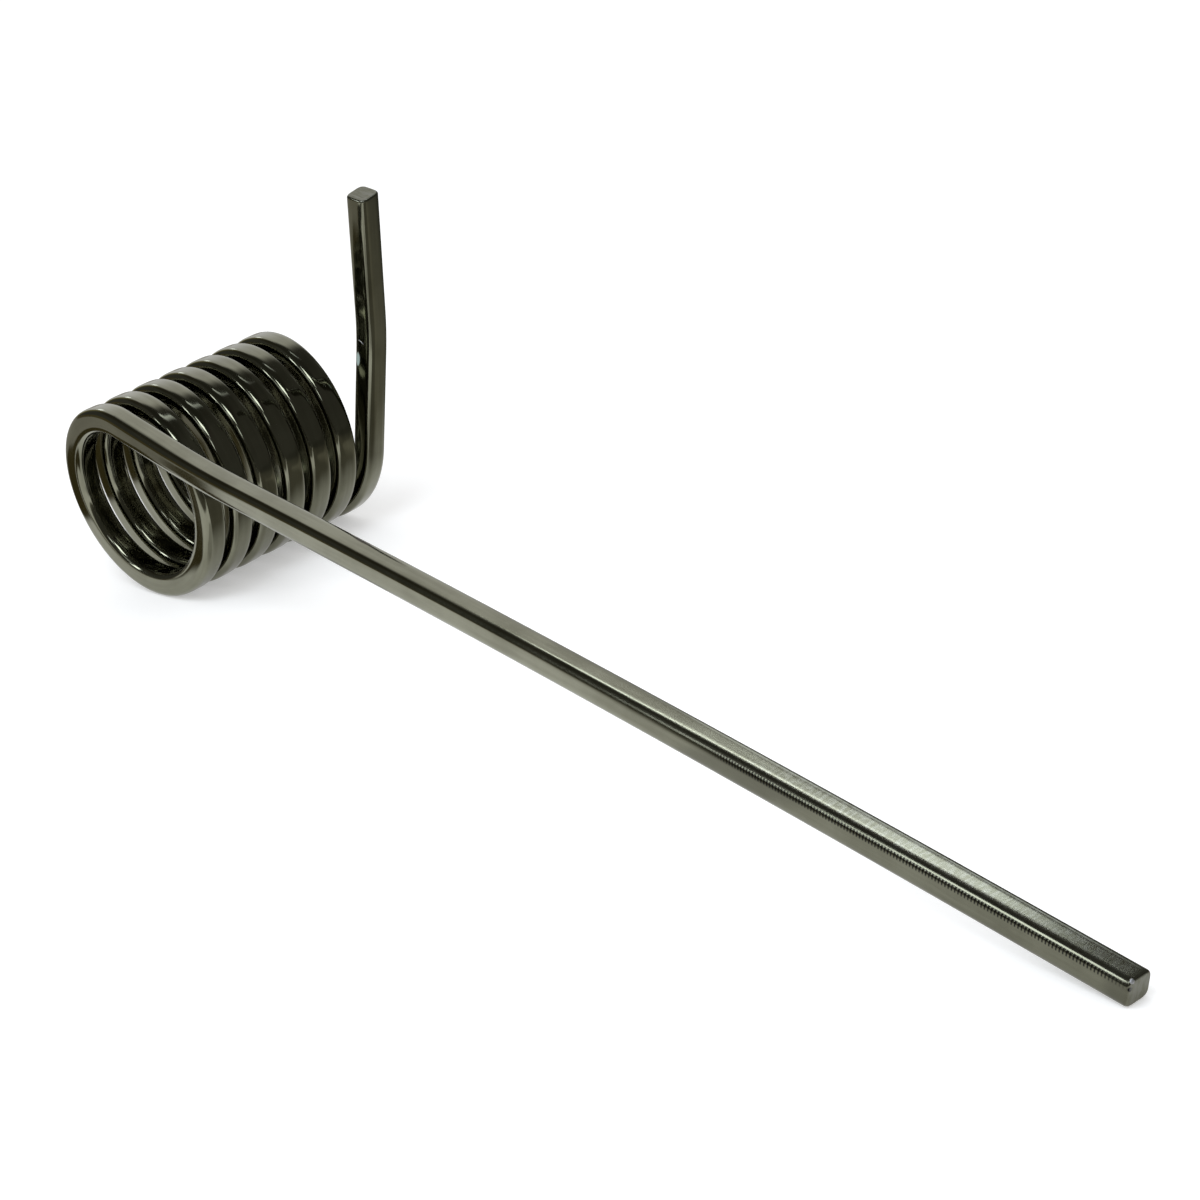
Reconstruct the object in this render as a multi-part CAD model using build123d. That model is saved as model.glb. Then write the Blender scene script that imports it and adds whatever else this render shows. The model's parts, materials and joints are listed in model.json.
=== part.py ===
from build123d import *
from math import asin, atan2, cos, degrees, hypot, radians, sin, tan
import os

# A left-hand torsion spring wound from square wire, with one long and one short leg.
# It lies as it comes to rest: on the outside of its turns and the tip of its long leg.
# The coil's axis is Y, the long leg leaves the front turn towards +X, and +Z is up.
# The origin is on the coil's axis, halfway along its helix. Lengths are mm, angles degrees.

# A bend's heading is the way it turns, seen along the wire: 0 is straight out of the coil,
# 90 is straight away from the turns, and 180 is straight in towards the coil's axis.

# Wire
wire_side = 8.0
wire_edge_radius = 2.1
edge_flats = 2  # narrow flats that stand for each rounded edge
cut_lean = 6.5  # both ends are sheared aslant: the side away from the coil is the longer

# Coil
bore_diameter = 50.0
mandrel_flat = 0.02  # how deep the mandrel presses into the wire's inner side
pitch = 10.85
helix_turns = 6.583

# Long leg, from the front of the coil outwards
long_root = 23.8
long_set_length = 34.7
long_set_turn = 5.4
long_set_heading = 7.9
long_bow_length = 307.5
long_bow_turn = 2.28
long_bow_heading = 180.0
long_tip = 39.0
long_end_round = 0.9

# Short leg, from the back of the coil outwards
tail_turn = 60.25  # the end of the last turn, which leans out from the turns before it
tail_heading = 174.8
short_root = 33.7
short_set_radius = 60.0
short_set_turn = 14.3
short_set_heading = -64.4
short_tip = 45.3
short_end_round = 0.6

bore_radius = bore_diameter / 2
winding_radius = bore_radius + wire_side / 2 - mandrel_flat
outer_radius = winding_radius + wire_side / 2
helix_length = pitch * helix_turns


def wire_section():
    """Square wire. Each rounded edge is a few flats that touch the round and never cut into it."""
    round_centre = Vector(wire_side / 2 - wire_edge_radius, wire_side / 2 - wire_edge_radius, 0)
    step = 90 / (edge_flats + 1)
    corner_reach = wire_edge_radius / cos(radians(step / 2))
    outline = []
    for edge in range(4):
        for flat in range(edge_flats + 1):
            corner = round_centre + Vector(corner_reach, 0, 0).rotate(Axis.Z, step * (flat + 0.5))
            outline.append(corner.rotate(Axis.Z, 90 * edge))
    return make_face(Polyline(*outline, close=True))


section = wire_section()
helix = Helix(
    pitch=pitch, height=helix_length, radius=winding_radius, direction=(0, 1, 0), lefthand=True
).edge()


def helix_end(share, way):
    """Place at a share of the helix, Z along the wire the given way and X out of the coil."""
    place = helix.position_at(share)
    return Plane(place, x_dir=(place.X, 0, place.Z), z_dir=helix.tangent_at(share) * way).location


def run(start, length):
    """A straight length of wire, and the place at its far end."""
    return start * extrude(section, length), start * Pos(0, 0, length)


def tip_run(start, length, edge_round):
    """The last straight length of a leg, sheared aslant, with the cut's edge rounded."""
    lean = radians(cut_lean)
    shear = Plane(origin=(0, 0, length), z_dir=(-sin(lean), 0, cos(lean)))
    straight = split(extrude(section, length + wire_side), shear, keep=Keep.BOTTOM)
    cut_end = straight.faces().sort_by(Axis.Z)[-1]
    return start * fillet(cut_end.edges(), edge_round), start * Pos(0, 0, length)


def bend(start, turn, heading, radius):
    """A length of wire bent about one hinge line, and the place at its far end."""
    towards = Vector(cos(radians(heading)), sin(radians(heading)), 0)
    along_hinge = Vector(-towards.Y, towards.X, 0)
    centre = towards * radius
    arc = revolve(section, axis=Axis(centre, along_hinge), revolution_arc=turn)
    swing = Pos(centre) * Location((0, 0, 0), tuple(along_hinge), turn) * Pos(-centre)
    return start * arc, start * swing


def bend_radius(length, turn):
    """Radius that spreads a turn evenly over a length of wire."""
    return length / radians(turn)


def coil():
    """The helical turns."""
    return sweep(helix_end(0, 1) * section, path=Wire([helix]), is_frenet=True, clean=False)


def long_leg():
    """The long leg: set slightly outwards, then bowed back along its length, and its end."""
    root, end = run(helix_end(0, -1), long_root)
    set_radius = bend_radius(long_set_length, long_set_turn)
    leg_set, end = bend(end, long_set_turn, long_set_heading, set_radius)
    bow_radius = bend_radius(long_bow_length, long_bow_turn)
    bow, end = bend(end, long_bow_turn, long_bow_heading, bow_radius)
    tip, end = tip_run(end, long_tip, long_end_round)
    return [root, leg_set, bow, tip], end


def short_leg():
    """The tail of the coil and the short leg, which leans back over the turns."""
    tail, end = bend(helix_end(1, 1), tail_turn, tail_heading, winding_radius)
    root, end = run(end, short_root)
    leg_set, end = bend(end, short_set_turn, short_set_heading, short_set_radius)
    tip, end = tip_run(end, short_tip, short_end_round)
    return [tail, root, leg_set, tip]


def mandrel():
    """The round bar that the wire is wound on: it leaves the inner side of the turns truly round."""
    overlap = 2 * wire_side
    base = Plane(origin=(0, -overlap, 0), z_dir=(0, 1, 0))
    return Solid.make_cylinder(bore_radius, helix_length + 2 * overlap, base)


def rest_tilt(long_end):
    """Tilt about the coil's axis that brings the long leg's tip down to the turns' lowest line."""
    lean = radians(cut_lean)
    inward = wire_side / 2 - long_end_round
    back = long_end_round / cos(lean) + inward * tan(lean)
    touch = (long_end * Pos(-inward, 0, -back)).position
    reach = hypot(touch.X, touch.Z)
    return degrees(atan2(touch.Z, touch.X) + asin((outer_radius - long_end_round) / reach))


long_pieces, long_end = long_leg()
wound = coil().fuse(*long_pieces, *short_leg()).cut(mandrel())
at_rest = Rot(0, rest_tilt(long_end), 0) * Pos(0, -helix_length / 2, 0)
torsion_spring = at_rest * wound.solid()

os.makedirs("parts", exist_ok=True)
export_step(torsion_spring, "parts/torsion_spring.step")
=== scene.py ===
import json
from math import asin, atan2, cos, hypot, pi, radians, sin, tan

import bmesh
import bpy
from mathutils import Matrix, Vector


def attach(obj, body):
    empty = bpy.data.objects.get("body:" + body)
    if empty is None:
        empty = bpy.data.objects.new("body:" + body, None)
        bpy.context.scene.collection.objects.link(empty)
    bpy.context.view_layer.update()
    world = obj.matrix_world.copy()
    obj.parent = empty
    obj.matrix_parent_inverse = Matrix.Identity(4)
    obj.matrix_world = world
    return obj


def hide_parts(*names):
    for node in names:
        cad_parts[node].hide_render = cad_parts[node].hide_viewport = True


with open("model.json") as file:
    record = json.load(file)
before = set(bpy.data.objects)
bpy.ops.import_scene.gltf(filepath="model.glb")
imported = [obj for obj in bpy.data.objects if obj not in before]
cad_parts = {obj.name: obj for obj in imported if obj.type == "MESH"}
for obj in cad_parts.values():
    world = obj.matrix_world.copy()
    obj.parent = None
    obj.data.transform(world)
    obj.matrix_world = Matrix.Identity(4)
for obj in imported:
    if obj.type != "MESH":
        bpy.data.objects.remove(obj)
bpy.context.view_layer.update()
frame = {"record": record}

# ---------------------------------------------------------------- sizes of the wire

# The spring's sizes, in metres and degrees, as its solid has them
wire_side = 0.008
cut_lean = 6.5  # both ends are sheared aslant: the side away from the coil is the longer
bore_radius = frame["record"]["mounts"][0]["dims"]["r_mm"] / 1000
mandrel_flat = 0.00002  # how far the wire's inner side lies within the bore
pitch = 0.01085
helix_turns = 6.583

long_root = 0.0238
long_set_length = 0.0347
long_set_turn = 5.4
long_set_heading = 7.9
long_bow_length = 0.3075
long_bow_turn = 2.28
long_bow_heading = 180.0
long_tip = 0.039
long_end_round = 0.00095

tail_turn = 60.25
tail_heading = 174.8
short_root = 0.0337
short_set_radius = 0.060
short_set_turn = 14.3
short_set_heading = -64.4
short_tip = 0.0453
short_end_round = 0.0006

# The rounding of the wire's four edges, which starts softly from the flat of each side
edge_reach = 0.0030
edge_fullness = 0.632
edge_segments = 8

# How finely the wire is drawn
rings_per_turn = 120
end_segments = 4
spare = 0.002  # run on past an end, to be cut off

winding_radius = bore_radius + wire_side / 2 - mandrel_flat
outer_radius = winding_radius + wire_side / 2
helix_length = pitch * helix_turns
rise = atan2(pitch, 2 * pi * winding_radius)  # how steeply the helix climbs
coil_length = helix_length / sin(rise)  # of the wire in the helix


# ---------------------------------------------------------------- places along the wire


def frame_at(origin, out, along):
    """A place on the wire: X out of the coil, Z along the wire, and Y across both."""
    across = along.cross(out)
    turned = Matrix((out, across, along)).transposed().to_4x4()
    return Matrix.Translation(origin) @ turned


def helix_place(share, way):
    """A place at a share of the helix, looking along it (1) or back along it (-1)."""
    angle = pi / 2 + 2 * pi * helix_turns * share
    out = Vector((cos(angle), 0, sin(angle)))
    origin = winding_radius * out + Vector((0, helix_length * share, 0))
    along = Vector((-cos(rise) * sin(angle), sin(rise), cos(rise) * cos(angle)))
    return frame_at(origin, out, way * along)


# ---------------------------------------------------------------- modelling tools


def deselect_all():
    for thing in bpy.context.selected_objects:
        thing.select_set(False)


def pick(piece):
    """Selects one piece alone and makes it the active one."""
    deselect_all()
    bpy.context.view_layer.objects.active = piece
    piece.select_set(True)


def start_editing(piece):
    """Opens a piece for editing with nothing selected."""
    pick(piece)
    bpy.ops.object.mode_set(mode="EDIT")
    bpy.ops.mesh.select_mode(type="VERT")
    bpy.ops.mesh.select_all(action="DESELECT")


def stop_editing():
    bpy.ops.object.mode_set(mode="OBJECT")


def apply_modifiers(piece):
    pick(piece)
    for modifier in list(piece.modifiers):
        bpy.ops.object.modifier_apply(modifier=modifier.name)


def place(piece, matrix):
    """Moves a piece's mesh to its place and leaves its object at the origin."""
    piece.matrix_world = matrix
    pick(piece)
    bpy.ops.object.transform_apply(location=True, rotation=True, scale=True)


# ---------------------------------------------------------------- the spring


def wire_section():
    """The wire's outline: a square with rounded corners, as one flat face."""
    deselect_all()
    bpy.ops.mesh.primitive_plane_add(size=wire_side, location=(0, 0, 0))
    section = bpy.context.object
    start_editing(section)
    bpy.ops.mesh.select_all(action="SELECT")
    bpy.ops.mesh.bevel(
        offset=edge_reach, segments=edge_segments, profile=edge_fullness, affect="VERTICES"
    )
    stop_editing()
    return section


def wind_turns(section):
    """Screws the section along the helix."""
    place(section, helix_place(0, 1))
    screw = section.modifiers.new("turns", "SCREW")
    screw.axis = "Y"
    screw.angle = -2 * pi * helix_turns
    screw.screw_offset = helix_length
    screw.steps = screw.render_steps = round(rings_per_turn * helix_turns)
    screw.use_merge_vertices = False
    apply_modifiers(section)


def mark_turns(mesh, outline):
    """Writes where each point of the turns lay on the straight wire, before it was wound."""
    corners = len(outline)
    rings = len(mesh.vertices) // corners
    straight = mesh.attributes.new("straight", "FLOAT_VECTOR", "POINT")
    for index in range(len(mesh.vertices)):
        ring, corner = divmod(index, corners)
        along = coil_length * ring / (rings - 1)
        straight.data[index].vector = (along, outline[corner].x, outline[corner].y)


def select_ring(mesh, indices):
    """Selects a ring of points and closes it with a face to grow a leg from."""
    bpy.ops.mesh.select_all(action="DESELECT")
    shape = bmesh.from_edit_mesh(mesh)
    shape.verts.ensure_lookup_table()
    for index in indices:
        shape.verts[index].select = True
    shape.select_flush(True)
    bmesh.update_edit_mesh(mesh)
    bpy.ops.mesh.edge_face_add()


class Leg:
    """A leg of the wire, grown from one end of the turns while they are open for editing."""

    def __init__(self, mesh, end, along, side):
        self.mesh = mesh
        self.end = end  # the place of its last ring
        self.along = along  # where that ring lies on the straight wire
        self.side = side  # 1 where the wire runs on, -1 where it is followed backwards

    def step(self, move, length):
        """Goes on to the ring just made, which is selected, and marks its points."""
        self.end = move @ self.end
        self.along += self.side * length
        shape = bmesh.from_edit_mesh(self.mesh)
        straight = shape.verts.layers.float_vector["straight"]
        to_end = self.end.inverted()
        for point in shape.verts:
            if point.select:
                at_end = to_end @ point.co
                point[straight] = (self.along, at_end.x, self.side * at_end.y)

    def run(self, length, rings):
        """A straight length."""
        travel = self.end.to_3x3() @ Vector((0, 0, length / rings))
        for _ in range(rings):
            bpy.ops.mesh.extrude_region_move(TRANSFORM_OT_translate={"value": travel})
            self.step(Matrix.Translation(travel), length / rings)

    def bend(self, turn, heading, radius, rings):
        """A length bent towards a heading: 0 is out of the coil, 90 away from the turns."""
        towards = Vector((cos(radians(heading)), sin(radians(heading)), 0))
        hinge = self.end.to_3x3() @ Vector((-towards.y, towards.x, 0))
        centre = self.end @ (towards * radius)
        share = radians(turn) / rings
        swing = Matrix.Translation(centre) @ Matrix.Rotation(share, 4, hinge)
        swing = swing @ Matrix.Translation(-centre)
        for _ in range(rings):
            bpy.ops.mesh.spin(steps=1, angle=-share, center=centre, axis=hinge)
            self.step(swing, radius * share)

    def near_end(self, shape, depth):
        """The points within a depth of the leg's end, each with its place seen from there."""
        to_end = self.end.inverted()
        for point in shape.verts:
            at_end = to_end @ point.co
            if at_end.z > -depth and abs(at_end.x) < wire_side and abs(at_end.y) < wire_side:
                yield point, at_end

    def cut_end(self, rounding):
        """Cuts the wire aslant and rounds the edge of the cut."""
        self.run(2 * spare, rings=1)  # from a spare before the cut to a spare past it
        self.end = self.end @ Matrix.Translation((0, 0, -spare))
        self.along -= self.side * spare
        shape = bmesh.from_edit_mesh(self.mesh)
        for point, _ in self.near_end(shape, 1.5 * spare):
            point.select = True
        shape.select_flush(True)
        bmesh.update_edit_mesh(self.mesh)
        lean = radians(cut_lean)
        across = self.end.to_3x3() @ Vector((-sin(lean), 0, cos(lean)))
        middle = self.end.translation
        bpy.ops.mesh.bisect(plane_co=middle, plane_no=across, use_fill=True, clear_outer=True)
        bpy.ops.mesh.bevel(offset=rounding, segments=end_segments, affect="EDGES", profile=0.5)
        shape = bmesh.from_edit_mesh(self.mesh)
        straight = shape.verts.layers.float_vector["straight"]
        for point, at_end in self.near_end(shape, 0.9 * spare):
            along = self.along + self.side * at_end.z
            point[straight] = (along, at_end.x, self.side * at_end.y)


def bend_radius(length, turn):
    return length / radians(turn)


def grow_long_leg(mesh, ring):
    """A root, a set outwards, a long shallow bow and a straight tip. Gives its end's place."""
    select_ring(mesh, ring)
    leg = Leg(mesh, helix_place(0, -1), along=0, side=-1)
    leg.run(long_root, rings=6)
    set_radius = bend_radius(long_set_length, long_set_turn)
    leg.bend(long_set_turn, long_set_heading, set_radius, rings=8)
    bow_radius = bend_radius(long_bow_length, long_bow_turn)
    leg.bend(long_bow_turn, long_bow_heading, bow_radius, rings=16)
    leg.run(long_tip - spare, rings=4)
    leg.cut_end(long_end_round)
    return leg.end


def grow_short_leg(mesh, ring):
    """The last part turn, which leans out of the helix, and the short leg on it."""
    select_ring(mesh, ring)
    leg = Leg(mesh, helix_place(1, 1), along=coil_length, side=1)
    leg.bend(tail_turn, tail_heading, winding_radius, rings=20)
    leg.run(short_root, rings=4)
    leg.bend(short_set_turn, short_set_heading, short_set_radius, rings=6)
    leg.run(short_tip - spare, rings=4)
    leg.cut_end(short_end_round)


def resting_tilt(long_end):
    """The turn that lays the spring on the outside of its turns and on its long tip."""
    lean = radians(cut_lean)
    inward = wire_side / 2 - long_end_round
    set_back = long_end_round / cos(lean) + inward * tan(lean)
    touch = long_end @ Vector((-inward, 0, -set_back))
    reach = hypot(touch.x, touch.z)
    return atan2(touch.z, touch.x) + asin((outer_radius - long_end_round) / reach)


def wound_spring():
    """The whole wire: its turns, and a leg grown from each end of them."""
    piece = wire_section()
    outline = [point.co.copy() for point in piece.data.vertices]
    wind_turns(piece)
    mesh = piece.data
    mark_turns(mesh, outline)
    points = len(mesh.vertices)

    start_editing(piece)
    long_end = grow_long_leg(mesh, range(len(outline)))
    grow_short_leg(mesh, range(points - len(outline), points))
    bpy.ops.mesh.select_all(action="SELECT")
    bpy.ops.mesh.normals_make_consistent(inside=False)
    stop_editing()

    centred = Matrix.Translation((0, -helix_length / 2, 0))
    place(piece, Matrix.Rotation(resting_tilt(long_end), 4, "Y") @ centred)
    bpy.ops.object.shade_smooth()
    piece.modifiers.new("flat sides", "WEIGHTED_NORMAL").keep_sharp = True
    apply_modifiers(piece)
    piece.name = piece.data.name = "spring_wire"
    return piece


# ---------------------------------------------------------------- camera

camera_place = (0.76708, -0.50324, 0.33677)
camera_right = (0.68861, 0.70604, -0.16527)
camera_up = (-0.19383, 0.39884, 0.89630)
camera_sensor = 36  # in millimetres, as the lens is
camera_lens = 90.404
camera_shift = (0.01294, 0.00879)


def camera():
    """The camera, on the long leg's side and a little above."""
    bpy.ops.object.camera_add()
    view = bpy.context.object
    right = Vector(camera_right)
    up = Vector(camera_up)
    back = right.cross(up).normalized()
    turned = Matrix((right, up, back)).transposed().to_4x4()
    view.matrix_world = Matrix.Translation(camera_place) @ turned
    view.data.sensor_width = camera_sensor
    view.data.lens = camera_lens
    view.data.shift_x, view.data.shift_y = camera_shift
    bpy.context.scene.camera = view


# ---------------------------------------------------------------- shader recipes


class Value:
    """A number that varies over a surface. Sums and products of it add Math nodes."""

    def __init__(self, recipe, socket):
        self.recipe = recipe
        self.socket = socket

    def math(self, operation, *others, first=None):
        lead = self if first is None else first
        settings = {"operation": operation}
        sockets = dict(enumerate((lead, *others)))
        return self.recipe.value("ShaderNodeMath", settings, sockets)

    def __add__(self, other):
        return self.math("ADD", other)

    def __radd__(self, other):
        return self.math("ADD", other)

    def __sub__(self, other):
        return self.math("SUBTRACT", other)

    def __rsub__(self, other):
        return self.math("SUBTRACT", self, first=other)

    def __mul__(self, other):
        return self.math("MULTIPLY", other)

    def __rmul__(self, other):
        return self.math("MULTIPLY", other)

    def __truediv__(self, other):
        return self.math("DIVIDE", other)

    def __pow__(self, other):
        return self.math("POWER", other)

    def least(self, other):
        return self.math("MINIMUM", other)

    def most(self, *others):
        largest = self
        for other in others:
            largest = largest.math("MAXIMUM", other)
        return largest

    def within(self, low, high):
        """The number itself between two limits, and the nearer limit outside them."""
        return self.most(low).least(high)

    def sine(self):
        return self.math("SINE")

    def arc(self, other):
        """The angle of the point (other, self) about the origin, in radians."""
        return self.math("ARCTAN2", other)

    def ramp(self, low, high):
        """From 0 at low to 1 at high, eased, and level beyond them; low may be the larger."""
        start, end = 0, 1
        if low > high:
            low, high, start, end = high, low, 1, 0
        settings = {"interpolation_type": "SMOOTHSTEP"}
        sockets = {"Value": self, "From Min": low, "From Max": high, "To Min": start, "To Max": end}
        return self.recipe.value("ShaderNodeMapRange", settings, sockets)

    def band(self, low, high, soft):
        """1 between low and high, fading to 0 over a soft margin outside them."""
        return self.ramp(low - soft, low) * self.ramp(high + soft, high)

    def sector(self, start, full_start, full_end, end):
        """1 between two angles, in degrees, and 0 outside them, eased at both; for an arc."""
        rising = self.ramp(radians(start), radians(full_start))
        return rising * self.ramp(radians(end), radians(full_end))


class Recipe:
    """The nodes of one material or world."""

    def __init__(self, tree):
        self.tree = tree
        self.tree.nodes.clear()

    def node(self, kind, settings=None, sockets=None):
        """Makes a node: its settings first, then the values or links of its sockets."""
        made = self.tree.nodes.new(kind)
        for name, setting in (settings or {}).items():
            setattr(made, name, setting)
        for name, given in (sockets or {}).items():
            socket = made.inputs[name]
            if isinstance(given, Value):
                given = given.socket
            if isinstance(given, bpy.types.NodeSocket):
                self.tree.links.new(given, socket)
            else:
                socket.default_value = given
        return made

    def value(self, kind, settings=None, sockets=None, output=0):
        """Makes a node whose output is a number to reckon with."""
        return Value(self, self.node(kind, settings, sockets).outputs[output])

    def blend(self, share, first, second):
        """A colour between two, by share."""
        sockets = {0: share, 6: first, 7: second}  # where the node keeps its colours
        return self.node("ShaderNodeMix", {"data_type": "RGBA"}, sockets).outputs[2]

    def split(self, vector):
        parts = self.node("ShaderNodeSeparateXYZ", None, {0: vector}).outputs
        return [Value(self, part) for part in parts]

    def join(self, x, y, z):
        return self.node("ShaderNodeCombineXYZ", None, {0: x, 1: y, 2: z}).outputs[0]

    def noise(self, point, scale, detail=2, roughness=0.5):
        sockets = {"Vector": point, "Scale": scale, "Detail": detail, "Roughness": roughness}
        return self.value("ShaderNodeTexNoise", None, sockets)

    def near(self, point, centre, reach, stretch=(1, 1, 1)):
        """1 close round a centre and 0 beyond its reach, which may be stretched."""
        x, y, z = [
            (part - middle) / (reach * factor)
            for part, middle, factor in zip(self.split(point), centre, stretch)
        ]
        return (x**2 + y**2 + z**2).ramp(1.0, 0.4)

    def place(self):
        """Where a point lies on the piece, in metres."""
        return self.node("ShaderNodeTexCoord").outputs["Object"]

    def seen(self):
        """1 for what the camera sees directly, in a mirror or through glass, else 0."""
        rays = ("Is Camera Ray", "Is Glossy Ray", "Is Transmission Ray")
        path = self.node("ShaderNodeLightPath").outputs
        direct, mirrored, through = [Value(self, path[ray]) for ray in rays]
        return direct.most(mirrored, through)

    def finish(self, shader, kind="ShaderNodeOutputMaterial"):
        self.node(kind, None, {"Surface": shader})


def new_material(name):
    material = bpy.data.materials.new(name)
    material.use_nodes = True
    return material, Recipe(material.node_tree)


# ---------------------------------------------------------------- finish of the spring

# Colours of the steel, of what marks it, and of the glints and shade painted on it
darker_steel = (0.165, 0.163, 0.118, 1)
paler_steel = (0.215, 0.214, 0.160, 1)
rubbed_steel = (0.30, 0.30, 0.255, 1)
sheared_steel = (0.30, 0.30, 0.27, 1)
# bare steel, bright as a painted glint on a nick and a burr
bare_steel_glint = (0.80, 0.80, 0.84, 1)
burnt_oil = (0.130, 0.072, 0.022, 1)
# painted shade on the long leg's front side
front_painted_shade = (0.105, 0.103, 0.075, 1)
spot_brown = (0.045, 0.030, 0.018, 1)
# the dark troughs of the ripples, painted shade
ripple_painted_shade = (0.020, 0.020, 0.018, 1)
# the pit at the long tip, its darkness painted shade
pit_painted_shade = (0.012, 0.011, 0.012, 1)
paint_speck = (0.36, 0.45, 0.42, 1)

# Heights of the marks, in metres
draw_height = 0.000004
rubbed_height = 0.000002
ripple_height = 0.000006
shear_height = 0.000010
chip_height = 0.00015

# Where the marks lie on the straight wire, in metres: along it from the start of the turns, and
# so below 0 on the long leg, out of the coil, and back from the first turn towards the last
flat_margin = (0.0033, 0.0039)  # from a rounded edge to the flat of a side
long_cut = (0.40455, 0.40495)  # outwards along the long leg, to its sheared end
short_cut = (1.32480, 1.32520)
dulled_length = (-0.10, -0.28)
rubbed_length = (-0.395, -0.300)
rippled_length = (-0.396, -0.280)
ripple_pitch = 0.00102
burnt_length = (-0.270, -0.125)
burnt_tip = (-0.388, -0.396)
# bands of painted shade on the front side: a slanting one, and the last few millimetres of the tip
shaded_length = (-0.292, -0.270)
shaded_tip = (-0.396, -0.401)
spot_along = -0.1205
spot_back = 0.0024
spot_length = 0.0050
spot_width = 0.0011
# chips: a burr and a pit at the long tip and a nick on the short leg; the burr and nick carry a
# painted glint, the pit painted shade
burr_glint_centre = (-0.40495, 0.0036, -0.0025)
shaded_pit_centre = (-0.40510, 0.0019, -0.0033)
tip_mark_reach = 0.0007
nick_glint_centre = (1.2701, -0.0008, -0.0040)
nick_glint_reach = 0.00035
nick_glint_stretch = (0.9, 3.6, 1.6)
nick_glint_slant = 0.45
paint_centre = (1.2638, -0.0021, -0.0040)
paint_reach = 0.0007
paint_stretch = (4.0, 1.5, 1.6)


def spring_steel():
    """Dark oil-tempered steel, drawn to a polish along the wire."""
    material, recipe = new_material("oil-tempered spring steel")
    wire = recipe.node("ShaderNodeAttribute", {"attribute_name": "straight"}).outputs["Vector"]
    along, out, back = recipe.split(wire)
    front = back * -1

    def wire_noise(along_rate, out_rate, back_rate, detail):
        """Noise with a fineness of its own in each direction of the wire, per metre."""
        point = recipe.join(along * along_rate, out * out_rate, back * back_rate)
        return recipe.noise(point, 1, detail=detail)

    draw_marks = wire_noise(45, 800, 800, detail=3)
    blotch = wire_noise(60, 240, 240, detail=3)
    rubbing = wire_noise(900, 1500, 300, detail=3)
    shear_marks = wire_noise(50, 260, 1500, detail=2)
    mottle = recipe.noise(recipe.place(), 55, detail=4, roughness=0.6)
    ripple = (along * (2 * pi / ripple_pitch)).sine()

    # the parts of the wire that have marks of their own
    outer_side = out.ramp(*flat_margin)
    front_side = front.ramp(*flat_margin)
    outer_back_edge = out.ramp(0.0018, 0.0032) * back.ramp(0.0022, 0.0034)
    outer_front_edge = front.ramp(0.0033, 0.0037) * out.band(0.0019, 0.0031, 0.0004)
    out_of_coil = along.ramp(*dulled_length)  # the long leg is duller towards its end
    lean = out * tan(radians(cut_lean))
    cut_face = ((along * -1) - lean).ramp(*long_cut).most((along - lean).ramp(*short_cut))

    # rubbed across the wire near the end of the long leg, and rippled beside that, with the
    # ripples' dark troughs painted shade
    rubbed = outer_side * along.band(*rubbed_length, 0.030)
    rippled = outer_front_edge * along.band(*rippled_length, 0.012)

    # oil burnt on in places
    burnt = outer_back_edge * along.band(*burnt_length, 0.030) * blotch.ramp(0.35, 0.60)
    burnt = burnt.most(outer_back_edge * along.ramp(*burnt_tip) * 0.8)
    # darker bands painted on the front side as shade: a slanting one about 0.28 m out, and the last
    # few millimetres of the tip, rolled over by the shear
    shade_band = front_side * (along + out * 2.5).band(*shaded_length, 0.015)
    rolled_tip_shade = front_side * along.ramp(*shaded_tip)
    # a brown spot on the outer side
    from_spot = ((along - spot_along) / spot_length) ** 2 + ((back - spot_back) / spot_width) ** 2
    spot = from_spot.ramp(1.0, 0.3) * out.ramp(0.0025, 0.0034) * blotch.ramp(0.30, 0.50)

    # small chips, with painted glints of bare steel on the nick and the burr and painted shade in
    # the pit, and a speck of paint
    burr_glint = recipe.near(wire, burr_glint_centre, tip_mark_reach)
    shaded_pit = recipe.near(wire, shaded_pit_centre, tip_mark_reach)
    slanting = recipe.join(along + nick_glint_slant * out, out, back)
    nick_glint = recipe.near(slanting, nick_glint_centre, nick_glint_reach, nick_glint_stretch)
    paint = recipe.near(wire, paint_centre, paint_reach, paint_stretch)

    tone = 0.35 * draw_marks + 0.65 * mottle
    colour = recipe.blend(tone.ramp(0.35, 0.65), darker_steel, paler_steel)
    layers = (
        (rubbed * rubbing.ramp(0.40, 0.62) * 0.45, rubbed_steel),
        (burnt * 0.85, burnt_oil),
        ((shade_band * 0.7).most(rolled_tip_shade * 0.6), front_painted_shade),
        (spot * 0.8, spot_brown),
        (rippled * ripple.ramp(-0.1, 0.5) * 0.9, ripple_painted_shade),
        (nick_glint.most(burr_glint), bare_steel_glint),
        (shaded_pit, pit_painted_shade),
        (paint, paint_speck),
        (cut_face * shear_marks.ramp(0.35, 0.65) * 0.5, sheared_steel),
    )
    for share, shade in layers:
        colour = recipe.blend(share, colour, shade)

    roughness = 0.060 + 0.04 * draw_marks + 0.04 * mottle + 0.10 * out_of_coil
    roughness = roughness + 0.10 * spot + 0.08 * burnt + 0.20 * cut_face
    roughness = roughness + 0.30 * nick_glint.most(burr_glint, paint)
    height = draw_height * draw_marks + rubbed_height * rubbing * rubbed
    height = height + ripple_height * ripple * rippled + shear_height * shear_marks * cut_face
    height = height + chip_height * (nick_glint + burr_glint - shaded_pit)

    bump = recipe.node("ShaderNodeBump", None, {"Height": height, "Distance": 1})
    shader = recipe.node(
        "ShaderNodeBsdfPrincipled",
        None,
        {
            "Base Color": colour,
            "Metallic": 1 - paint,
            "Roughness": roughness,
            "Normal": bump.outputs[0],
        },
    )
    recipe.finish(shader.outputs[0])
    return material


# ---------------------------------------------------------------- studio

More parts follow.
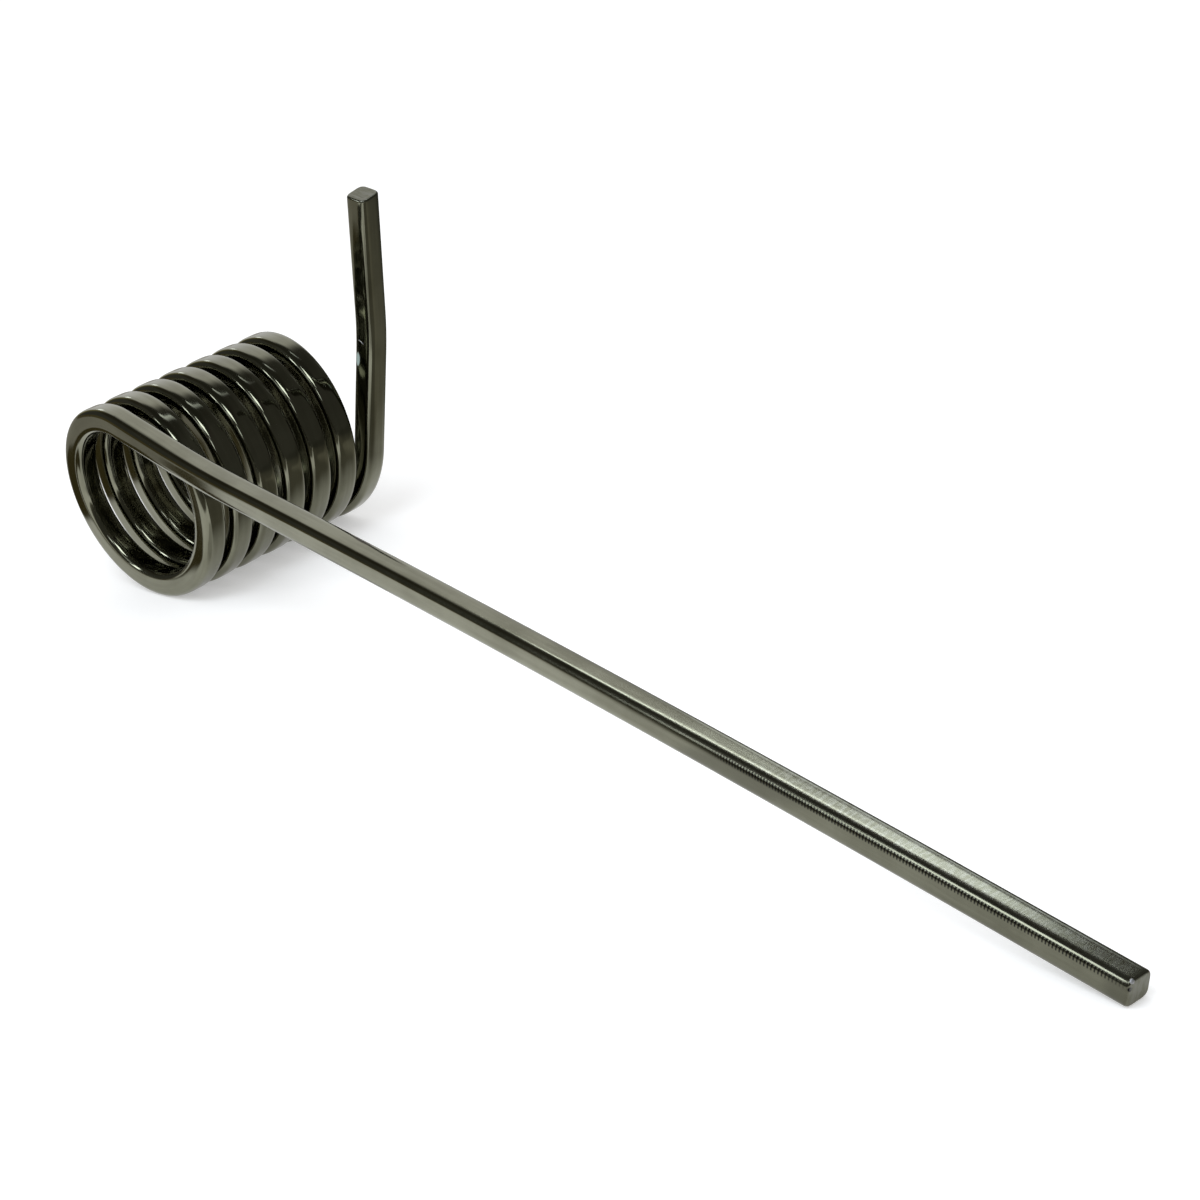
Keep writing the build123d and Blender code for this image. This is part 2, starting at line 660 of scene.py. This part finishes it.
white = (1, 1, 1, 1)
black = (0, 0, 0, 1)
paper_white = (0.8, 0.8, 0.8, 1)
world_light = 0.85  # on dull surfaces, where 1 would give a white its own colour
floor_size = 12
floor_glow = 0.34  # how white it glows to the camera
floor_glow_in_metal = 0.32
# a card that paints shade on the floor as the metal mirrors it
shade_card_size = 4.6
shade_card_lift = 0.0004  # over the floor
room_radius = 2.4

# Painted shades of the floor as the metal mirrors it, and shades of the room
floor_shade = (0.17, 0.165, 0.135, 1)
floor_shade_behind = (0.32, 0.31, 0.26, 1)
floor_shade_far = (0.07, 0.07, 0.06, 1)
floor_shade_left = (0.15, 0.125, 0.06, 1)
table_shadow = (0.09, 0.075, 0.03, 1)
room_shade = (0.09, 0.09, 0.08, 1)
room_brown = (0.06, 0.055, 0.04, 1)
room_golden = (0.255, 0.225, 0.085, 1)
room_overhead = (0.05, 0.05, 0.042, 1)


def studio_world():
    """White all round, at a plain level on dull surfaces."""
    world = bpy.data.worlds.new("studio")
    bpy.context.scene.world = world
    world.use_nodes = True
    recipe = Recipe(world.node_tree)
    strength = recipe.seen() * (1 - world_light) + world_light
    light = recipe.node("ShaderNodeBackground", None, {"Color": white, "Strength": strength})
    recipe.finish(light.outputs[0], "ShaderNodeOutputWorld")


def white_floor():
    deselect_all()
    bpy.ops.mesh.primitive_plane_add(size=floor_size, location=(0, 0, -outer_radius))
    floor = bpy.context.object
    floor.name = "floor"
    material, recipe = new_material("white paper")
    looked_at = recipe.value("ShaderNodeLightPath", output="Is Camera Ray")
    glow = looked_at * floor_glow + (1 - looked_at) * floor_glow_in_metal * recipe.seen()
    shader = recipe.node(
        "ShaderNodeBsdfPrincipled",
        None,
        {
            "Base Color": paper_white,
            "Roughness": 0.9,
            "Specular IOR Level": 0,
            "Emission Color": recipe.blend(glow, black, white),
            "Emission Strength": 1,
        },
    )
    recipe.finish(shader.outputs[0])
    floor.data.materials.append(material)


def finish_card(recipe, clear_share, shade):
    """Gives a card a shade of its own, and makes it see-through where the share is 1."""
    glow = recipe.node("ShaderNodeEmission", None, {"Color": shade, "Strength": 1})
    clear = recipe.node("ShaderNodeBsdfTransparent")
    sockets = {0: clear_share, 1: glow.outputs[0], 2: clear.outputs[0]}
    recipe.finish(recipe.node("ShaderNodeMixShader", None, sockets).outputs[0])


def only_in_metal(piece, material):
    """Gives a stage piece its material, and leaves it to be seen in reflections alone."""
    material.cycles.emission_sampling = "NONE"
    piece.data.materials.append(material)
    piece.visible_camera = False
    piece.visible_diffuse = False
    piece.visible_transmission = False
    piece.visible_volume_scatter = False
    piece.visible_shadow = False


def height_at(elevation):
    """How high a ball of radius 1 is, at an angle of elevation seen from its middle."""
    return sin(radians(elevation))


def dark_room():
    """The unlit room round the floor, open to a white wall behind the coil."""
    deselect_all()
    bpy.ops.mesh.primitive_uv_sphere_add(segments=48, ring_count=24, radius=room_radius)
    room = bpy.context.object
    room.name = "dark_room"
    material, recipe = new_material("unlit room")
    x, y, z = recipe.split(recipe.place())
    height = z / room_radius
    turn = y.arc(x)
    opening = turn.sector(110, 132, 160, 174)
    opening = opening * height.ramp(height_at(58), height_at(44))
    opening = opening * (0.80 + 0.20 * height.ramp(0.0, 0.35))
    turn_from_left = (y * -1).arc(x * -1)
    brown = turn_from_left.sector(-8, 0, 28, 36) * height.ramp(height_at(25), height_at(36))
    golden = turn_from_left.sector(-32, -24, -4, 4) * height.ramp(0.75, 0.45)
    overhead = height.ramp(height_at(48), height_at(68))
    shade = recipe.blend(brown, room_shade, room_brown)
    shade = recipe.blend(golden, shade, room_golden)
    shade = recipe.blend(overhead, shade, room_overhead)
    finish_card(recipe, opening, shade)
    only_in_metal(room, material)


def floor_shade_card():
    """A card just over the floor, seen only in the metal, with painted shade and shadows darkening
    the floor beyond the white paper, which lies round the spring.
    """
    deselect_all()
    bpy.ops.mesh.primitive_plane_add(size=shade_card_size, location=(0, 0, shade_card_lift - outer_radius))
    shade_card = bpy.context.object
    place(shade_card, shade_card.matrix_world.copy())
    shade_card.name = "floor_shade_card"
    material, recipe = new_material("painted floor shade")
    x, y, _ = recipe.split(recipe.place())
    leftwards = x * -1
    forwards = y * -1

    # how far the white paper shows clear on each side; beyond it the card paints shade, with a
    # painted shadow of the coil beside it and painted shade under the leg
    front_edge = 0.190 - 0.52 * x.within(0, 0.19) + 0.45 * x.within(-0.15, 0)
    in_front = (forwards - front_edge).ramp(-0.020, 0.050)
    side_edge = y + 0.08 * (x - 0.1).within(0, 0.2)
    shadow_beside = x.ramp(0.012, 0.075) * side_edge.ramp(-0.035, -0.015)
    behind = y.ramp(0.045, 0.12)
    opening = y.arc(x).sector(118, 136, 160, 174)
    tip_side = x.ramp(0.16, 0.38) * 0.40
    left = leftwards.ramp(0.06, 0.11)
    shade_under_leg = x.band(0.040, 0.085, 0.012) * y.band(-0.055, -0.030, 0.012) * 0.5

    # shadows on the paper, which lie askew: run is along them, and offset is across
    run = x * -0.86 - (y + 0.052) * 0.51
    offset = (y + 0.052) * 0.86 - x * 0.51
    streak = run.ramp(0.002, 0.014) * offset.band(-0.0065, 0.005, 0.004) * run.ramp(0.16, 0.12)
    patch = run.band(0.070, 0.135, 0.008) * offset.band(0.016, 0.060, 0.006)
    shadow = streak.most(patch)

    cover = in_front.most(behind.most(shadow_beside) * (1 - opening), shade_under_leg, tip_side)
    cover = cover.most(left * 0.71, shadow)
    behind_coil = x.band(0.03, 0.14, 0.03) * y.ramp(0.055, 0.085)
    far = y.ramp(0.05, 0.25).most(forwards.ramp(0.2, 0.5) * 0.3)
    shade = recipe.blend(behind_coil, floor_shade, floor_shade_behind)
    shade = recipe.blend(far, shade, floor_shade_far)
    shade = recipe.blend(left, shade, floor_shade_left)
    shade = recipe.blend(shadow, shade, table_shadow)
    finish_card(recipe, 1 - cover, shade)
    only_in_metal(shade_card, material)


# ---------------------------------------------------------------- lamps

lamp_colour = (0.86, 0.93, 1.0)
coil_middle = (0, 0, 0)
full_beam = 180  # in degrees, one that isn't limited

# Name, place, what it is aimed at, width, height, brightness and spread of its beam
lamps = (
    ("high_lamp", (0.433, -0.66, 1.29), coil_middle, 0.62, 0.42, 6.2, full_beam),
    ("low_lamp", (0.56, -1.07, 0.80), coil_middle, 0.20, 0.26, 3.5, full_beam),
    ("tip_lamp", (0.09, -0.41, 0.39), (0.39, -0.065, -0.02), 0.12, 0.26, 6, 80),
    ("back_strip", (0.04, 0.227, 0.372), (0.33, -0.06, -0.02), 0.30, 0.05, 8, 60),
    ("back_lamp", (0.08, 0.37, 0.22), (0.35, -0.06, -0.02), 0.20, 0.13, 1.6, 60),
    ("glint_lamp", (-1.28, 0.46, 0.66), coil_middle, 0.18, 0.18, 2.8, full_beam),
    ("left_lamp", (-0.53, -1.05, 0.50), coil_middle, 0.16, 0.56, 8, 50),
    ("front_lamp", (-0.19, -0.99, 0.65), coil_middle, 0.34, 0.22, 1.8, 24),
)


def lamp(name, centre, target, width, height, brightness, spread):
    """A soft box aimed at a target; brightness is how white its face looks."""
    deselect_all()
    bpy.ops.object.light_add(type="AREA", location=centre)
    box = bpy.context.object
    box.name = name
    box.data.shape = "RECTANGLE"
    box.data.color = lamp_colour
    box.data.size = width
    box.data.size_y = height
    half_spread = radians(spread) / 2
    gathered = 1 - half_spread / tan(half_spread)  # a narrow beam would look brighter face on
    box.data.energy = brightness * gathered * pi * width * height
    box.data.spread = radians(spread)
    aim = Vector(target) - Vector(centre)
    box.rotation_euler = aim.to_track_quat("-Z", "Y").to_euler()
    box.visible_camera = False


# ---------------------------------------------------------------- the scene

spring = wound_spring()
spring.data.materials.append(spring_steel())
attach(spring, "root")
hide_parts("torsion_spring")

camera()
studio_world()
white_floor()
dark_room()
floor_shade_card()
for facts in lamps:
    lamp(*facts)
bpy.context.scene.view_settings.view_transform = "Standard"
